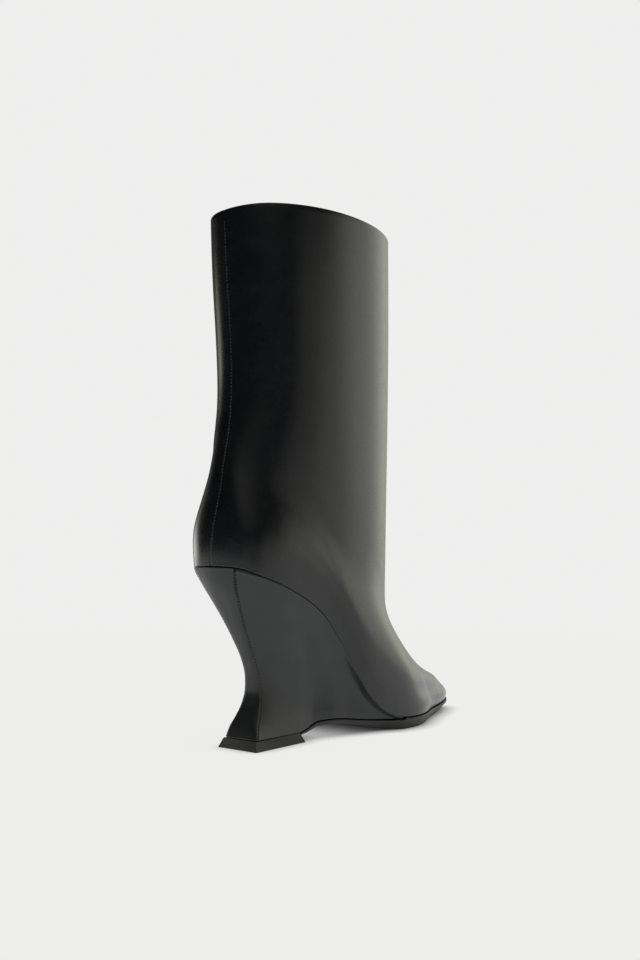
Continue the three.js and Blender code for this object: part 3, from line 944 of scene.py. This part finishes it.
def make_upper():
    outer_rises = np.concatenate([LOWER_RISES, np.linspace(FIRST_EVEN_RISE, 1, UPPER_ROWS)])[:, None]
    outside = leather_surface(outer_rises, 0.0)
    turns, _ = upper_turns(1.0, COLUMNS)
    flat = unit(upper_normal(turns, 1.0) * [1, 1, 0])
    middle = outside[-1] - flat * WALL / 2
    angles = np.linspace(0, np.pi, ROLL_STATIONS)[1:, None, None]
    roll = middle + flat * np.cos(angles) * WALL / 2 + np.array([0, 0, 1]) * np.sin(angles) * COLLAR_ROLL
    drops = np.linspace(FACING_START, FACING, FACING_ROWS)
    facing = leather_surface(rises_below_collar(drops), WALL)
    lap = leather_surface(rises_below_collar([FACING]), LEATHER)
    hidden = leather_surface(np.linspace(HIDDEN_TOP, 0, HIDDEN_ROWS)[:, None], LEATHER)
    loops = np.concatenate([outside, roll, facing, lap, hidden])
    keep(solid("upper_leather_shell", loops, upper_leather, close=True), "upper")


def make_lining():
    rows = np.repeat(np.linspace(LINING_TOP, 0, LINING_ROWS)[:, None], COLUMNS, axis=1)
    rows = np.concatenate([rises_below_collar([FACING + LINING_DROP]), rows])
    inside = leather_surface(rows, WALL)
    outside = leather_surface(rows[::-1], LEATHER + LINING_FIT)
    loops = np.concatenate([inside, outside])
    keep(solid("lining", loops, lining_leather, close=True), "upper")


def make_back_seam_stitches():
    rises = np.linspace(*BACK_SEAM_SPAN, SEAM_SAMPLES)
    turns = through(SEAM, "rise", "turn", rises)
    line = upper_outside(turns, rises) - upper_normal(turns, rises) * STITCH_SINK
    picked = every(line, BACK_STITCH)
    alongs = np.gradient(line, axis=0)[picked]
    outs = upper_normal(turns, rises)[picked]
    length = BACK_STITCH * BACK_STITCH_SHARE
    piece = stitches("back_seam_stitches", line[picked], alongs, outs, length, BACK_THREAD, thread_black)
    keep(piece, "upper")


def every(line, spacing):
    """Indices of the points of a line that lie a spacing apart."""
    gone = np.concatenate([[0], np.cumsum(apart(line[1:], line[:-1]))])
    return np.searchsorted(gone, np.arange(spacing / 2, gone[-1], spacing))


# Insole


def make_insole():
    turns = (np.arange(COLUMNS) + 0.5) / COLUMNS

    def loop(inset, lift):
        points = footprint(turns, -(WALL + SOCK_FIT + inset))
        points[:, 2] = feather_height(share_of(-points[:, 1])) + lift + FIT / 2
        return points

    levels = [(0, 0), (0, INSOLE_THICKNESS - SOCK_ROUND)]
    for angle in np.linspace(0, np.pi / 2, EDGE_STATIONS)[1:]:
        inset = SOCK_ROUND * (1 - math.cos(angle))
        levels.append((inset, INSOLE_THICKNESS - SOCK_ROUND * (1 - math.sin(angle))))
    levels += [(SOCK_ROUND + more, INSOLE_THICKNESS) for more in SOCK_RIMS]
    loops = np.array([loop(inset, lift) for inset, lift in levels])
    keep(solid("sock", loops, lining_leather), "insole")


# Wedge


def side_grid(q, side):
    """The side of the wedge's cover, its edges rounded, with rows at the shares q of its height."""
    first = side_share(PANEL_THICKNESS + FIT, q, side)[:, None]
    near = EDGE_STEPS * SHARES_PER_METRE
    over_base = np.linspace(FIRST_EVEN_SHARE, BASE_SHARE, BASE_STATIONS)
    p = np.concatenate([near, over_base, np.linspace(BASE_SHARE, 1, SIDE_STATIONS)[1:]])
    p = p + first * np.clip(1 - p / SIDE_BLEND, 0, None) ** 2
    q = q[:, None]
    grid = wedge_side(p, q, side)
    out = unit(np.cross(np.gradient(grid, axis=0), np.gradient(grid, axis=1)))
    out *= np.sign(-side * out[..., :1])
    above = apart(grid, wedge_side(p, 1.0, side))
    below = apart(grid, wedge_side(p, 0.0, side))
    behind = apart(grid, grid[:, :1])
    tight = ROUND_LIMIT * (above + below)
    under = mix(BASE_ROUND, ARCH_ROUND, smoothstep(p, *ARCH_ROUND_SPAN))
    inset = rounding(above, np.minimum(EDGE_ROUND, tight)) + rounding(below, np.minimum(under, tight))
    inset = inset + rounding(behind, EDGE_ROUND)
    lip = max(side, 0) * LIP_FOLD * bump(above, *LIP_UNDER_TOP) * bump(behind, *LIP_AT_CORNER)
    return grid + out * (lip - inset)[..., None]


def rows_up(steps, height):
    """Shares of a height, close together at both ends."""
    near = EDGE_STEPS / height
    return np.concatenate([near, np.linspace(2 * near[-1], 1 - 2 * near[-1], steps), 1 - near[::-1]])


def make_wedge():
    q = rows_up(WEDGE_ROWS, HEEL_HEIGHT)
    across = np.array([WEDGE_BACK])
    backs = {side: across_back(side * across, q[:, None], PANEL_THICKNESS + FIT) for side in (1, -1)}
    sides = {side: side_grid(q, side) for side in (1, -1)}
    loops = np.concatenate([backs[1], sides[1], sides[-1][:, ::-1], backs[-1][:, ::-1]], axis=1)
    keep(solid("wedge_cover", loops, wedge_leather), "wedge_heel")


def make_back_panel():
    q = rows_up(WEDGE_ROWS, HEEL_HEIGHT)
    column = q[:, None]

    def on_side(distance, side):
        return wedge_side(side_share(distance, q, side), q, side)[:, None]

    def rolled(side):
        corner = across_back(float(side), q, 0.0)[:, None]
        half = np.abs(corner[..., 0])
        inset = np.minimum(PANEL_ROLL_WIDE, ROLL_LIMIT * half)
        back = across_back(side * (1 - inset / half), column, 0.0)
        end = on_side(PANEL_ROLL, side)
        angles = np.linspace(np.pi / 2, 0, ROLL_STATIONS)[None, :, None]
        arc = corner + (back - corner) * (1 - np.sin(angles)) + (end - corner) * (1 - np.cos(angles))
        return np.concatenate([on_side(PANEL_THICKNESS, side), arc], axis=1), 1 - inset / half

    (outer, outer_end), (inner, inner_end) = rolled(1), rolled(-1)
    across = np.linspace(0, 1, PANEL_STATIONS)[None, 1:-1]
    middle = across_back(mix(outer_end, -inner_end, across), column, 0.0)
    face = np.concatenate([outer, middle, inner[:, ::-1]], axis=1)
    back_columns = np.linspace(PANEL_INSET, -PANEL_INSET, face.shape[1])[None]
    hidden = across_back(back_columns, column, PANEL_THICKNESS)
    ends = np.minimum(q, 1 - q) * HEEL_HEIGHT
    sink = rounding(ends, EDGE_ROUND) / PANEL_THICKNESS
    face = mix(face, hidden, sink[:, None, None])
    loops = np.concatenate([face, hidden[:, ::-1]], axis=1)
    keep(solid("back_panel_cover", loops, wedge_leather), "heel_back_panel")


def make_panel_stitches():
    q = np.linspace(*PANEL_SEAM_SPAN, PANEL_SAMPLES)
    length = PANEL_STITCH * PANEL_STITCH_SHARE
    for side, name in ((1, "panel_stitches_outer"), (-1, "panel_stitches_inner")):
        line = wedge_side(side_share(PANEL_THICKNESS + FIT / 2, q, side), q, side)
        ahead = wedge_side(side_share(PANEL_THICKNESS + MM, q, side), q, side)
        alongs = np.gradient(line, axis=0)
        outs = unit(np.cross(ahead - line, alongs))
        outs *= np.sign(-side * outs[:, :1])
        picked = every(line, PANEL_STITCH)
        middles = (line - outs * STITCH_SINK)[picked]
        piece = stitches(name, middles, alongs[picked], outs[picked], length, PANEL_THREAD, thread_black)
        keep(piece, "heel_back_panel")


# Outsole and top piece


def make_outsole():
    (plan, top, bottom), (inner_plan, inner_top, inner_bottom) = sole_side(1), sole_side(-1)
    plan = np.concatenate([plan, inner_plan[::-1]])
    top = np.concatenate([top, inner_top[::-1]])
    bottom = np.concatenate([bottom, inner_bottom[::-1]])
    run = np.roll(plan, 1, axis=0) - np.roll(plan, -1, axis=0)
    inwards = unit(np.stack([run[:, 1], -run[:, 0], 0 * run[:, 0]], -1))
    thick = top - bottom
    slant = np.maximum(SLANT_LEAST * thick, thick - SOLE_EDGE)
    tuck = np.minimum(SOLE_TUCK, TUCK_LIMIT * slant)
    brow = np.minimum(SOLE_BROW, BROW_LIMIT * thick)

    def layer(inset, height):
        points = plan + inwards * inset[:, None]
        points[:, 2] = height
        return points

    angles = np.linspace(0, np.pi / 2, EDGE_STATIONS)
    loops = [layer(UNDER_INSET * tuck, bottom)]
    for angle in angles:
        inset = mix(1 - math.sin(angle), math.cos(angle), SLANT_SHAPE)
        rise = mix(1 - math.cos(angle), math.sin(angle), SLANT_SHAPE)
        loops.append(layer(tuck * inset, bottom + slant * rise))
    for angle in angles:
        loops.append(layer(brow * (1 - math.cos(angle)), top - brow * (1 - math.sin(angle))))
    loops.append(layer(FACE_INSET * brow, top))
    keep(solid("outsole_edge", np.array(loops), sole_rubber), "outsole")


def make_top_piece():
    """The lift under the wedge: a flared block with rounded edges.

    Each corner is drawn from its end to its side. The front outer and the back inner one run against
    the walk round the block, so they fold over within LIFT_ROUND.
    """

    def level(z, inset):
        half_long = TOP_PIECE_LENGTH / 2 - inset
        half_wide = TOP_PIECE_WIDTH / 2 - inset
        points = []
        for ahead_sign, out_sign in ((-1, 1), (1, 1), (1, -1), (-1, -1)):
            for angle in np.linspace(0, np.pi / 2, LIFT_STATIONS):
                ahead = ahead_sign * (half_long - LIFT_ROUND + LIFT_ROUND * math.cos(angle))
                out = out_sign * (half_wide - LIFT_ROUND + LIFT_ROUND * math.sin(angle))
                points.append((ahead, out))
        ahead, out = np.array(points).T
        return place(ahead, out, z)

    flare = TOP_PIECE_FLARE / TOP_PIECE_HEIGHT
    loops = []
    for angle in np.linspace(0, np.pi / 2, LIFT_STATIONS):
        z = LIFT_ROUND * (1 - math.cos(angle))
        loops.append(level(z, LIFT_ROUND * (1 - math.sin(angle)) + flare * z))
    for angle in np.linspace(np.pi / 2, 0, LIFT_STATIONS):
        z = TOP_PIECE_HEIGHT - LIFT_ROUND * (1 - math.cos(angle))
        loops.append(level(z, LIFT_ROUND * (1 - math.sin(angle)) + flare * z))
    keep(solid("heel_lift", np.array(loops), heel_rubber), "top_piece")


make_upper()
make_lining()
make_back_seam_stitches()
make_insole()
make_wedge()
make_back_panel()
make_panel_stitches()
make_outsole()
make_top_piece()


# Floor, light and camera


def make_floor():
    """A pale seamless floor: its matte paint takes the boot's real soft shadow, ambient occlusion dims its
    glow round the sole as a painted shadow, and it turns into the backdrop further away.
    """
    material = bpy.data.materials.new("floor")
    material.use_nodes = True
    tree = material.node_tree
    tree.nodes.remove(tree.nodes["Principled BSDF"])
    matte = add(tree, "ShaderNodeBsdfDiffuse", Color=(*FLOOR_PAINT, 1))
    # Painted shadow: ambient occlusion darkens the floor's glow where the sole and top piece stand close
    painted_shadow = add(tree, "ShaderNodeAmbientOcclusion", Distance=PAINTED_SHADOW_REACH, samples=16)
    tone = spread(tree, painted_shadow.outputs["AO"], 0, FLOOR_GLOW, 0, 1)
    glow = add(tree, "ShaderNodeEmission", Color=(*PALE, 1))
    tree.links.new(tone, glow.inputs["Strength"])
    near = add(tree, "ShaderNodeAddShader")
    tree.links.new(matte.outputs["BSDF"], near.inputs[0])
    tree.links.new(glow.outputs["Emission"], near.inputs[1])
    far = add(tree, "ShaderNodeEmission", Color=(*PALE, 1))
    coordinates = add(tree, "ShaderNodeTexCoord")
    away = add(tree, "ShaderNodeVectorMath", operation="LENGTH")
    tree.links.new(coordinates.outputs["Object"], away.inputs[0])
    either = add(tree, "ShaderNodeMixShader")
    tree.links.new(spread(tree, away.outputs["Value"], 0, 1, *FLOOR_FADE), either.inputs["Fac"])
    tree.links.new(near.outputs["Shader"], either.inputs[1])
    tree.links.new(far.outputs["Emission"], either.inputs[2])
    tree.links.new(either.outputs["Shader"], tree.nodes["Material Output"].inputs["Surface"])
    corners = FLOOR_REACH * np.array([[-1, -1, 0], [1, -1, 0], [1, 1, 0], [-1, 1, 0]])
    mesh_piece("floor", corners, [[0, 1, 2, 3]], material)


def direction(azimuth, elevation):
    """Unit vector towards an azimuth, from -Y towards +X, and an elevation, both in degrees."""
    azimuth, elevation = math.radians(azimuth), math.radians(elevation)
    level = math.cos(elevation)
    return Vector((math.sin(azimuth) * level, -math.cos(azimuth) * level, math.sin(elevation)))


def make_light():
    """Soft studio light as broad lobes, and a pale backdrop where the camera looks past the boot."""
    world = bpy.data.worlds.new("studio")
    bpy.context.scene.world = world
    world.use_nodes = True
    tree = world.node_tree
    coordinates = add(tree, "ShaderNodeTexCoord")
    total = None
    for k in range(len(LOBES["azimuth"])):
        azimuth, elevation, half, strength = (column[k] for column in LOBES.values())
        towards = add(tree, "ShaderNodeVectorMath", operation="DOT_PRODUCT")
        towards.inputs[1].default_value = direction(azimuth, elevation)
        tree.links.new(coordinates.outputs["Generated"], towards.inputs[0])
        lobe = add(tree, "ShaderNodeMapRange", interpolation_type="SMOOTHSTEP")
        lobe.inputs["From Min"].default_value = math.cos(math.radians(half))
        lobe.inputs["From Max"].default_value = 1.0
        lobe.inputs["To Max"].default_value = strength
        tree.links.new(towards.outputs["Value"], lobe.inputs["Value"])
        if total is None:
            total = lobe.outputs["Result"]
        else:
            both = add(tree, "ShaderNodeMath", operation="ADD")
            tree.links.new(total, both.inputs[0])
            tree.links.new(lobe.outputs["Result"], both.inputs[1])
            total = both.outputs["Value"]
    light = tree.nodes["Background"]
    light.inputs["Color"].default_value = (*LIGHT_TONE, 1)
    tree.links.new(total, light.inputs["Strength"])
    backdrop = add(tree, "ShaderNodeBackground", Color=(*PALE, 1))
    path = add(tree, "ShaderNodeLightPath")
    either = add(tree, "ShaderNodeMixShader")
    tree.links.new(path.outputs["Is Camera Ray"], either.inputs["Fac"])
    tree.links.new(light.outputs["Background"], either.inputs[1])
    tree.links.new(backdrop.outputs["Background"], either.inputs[2])
    tree.links.new(either.outputs["Shader"], tree.nodes["World Output"].inputs["Surface"])


def make_camera():
    camera = bpy.data.objects.new("camera", bpy.data.cameras.new("camera"))
    bpy.context.scene.collection.objects.link(camera)
    camera.data.sensor_width = 36.0
    camera.data.lens = CAMERA_LENS
    camera.data.clip_start = 0.01
    camera.data.clip_end = 50.0
    camera.location = CAMERA_PLACE
    camera.rotation_mode = "QUATERNION"
    camera.rotation_quaternion = direction(CAMERA_HEADING, CAMERA_PITCH).to_track_quat("-Z", "Y")
    bpy.context.scene.camera = camera


make_floor()
make_light()
make_camera()
bpy.context.scene.view_settings.view_transform = "Standard"
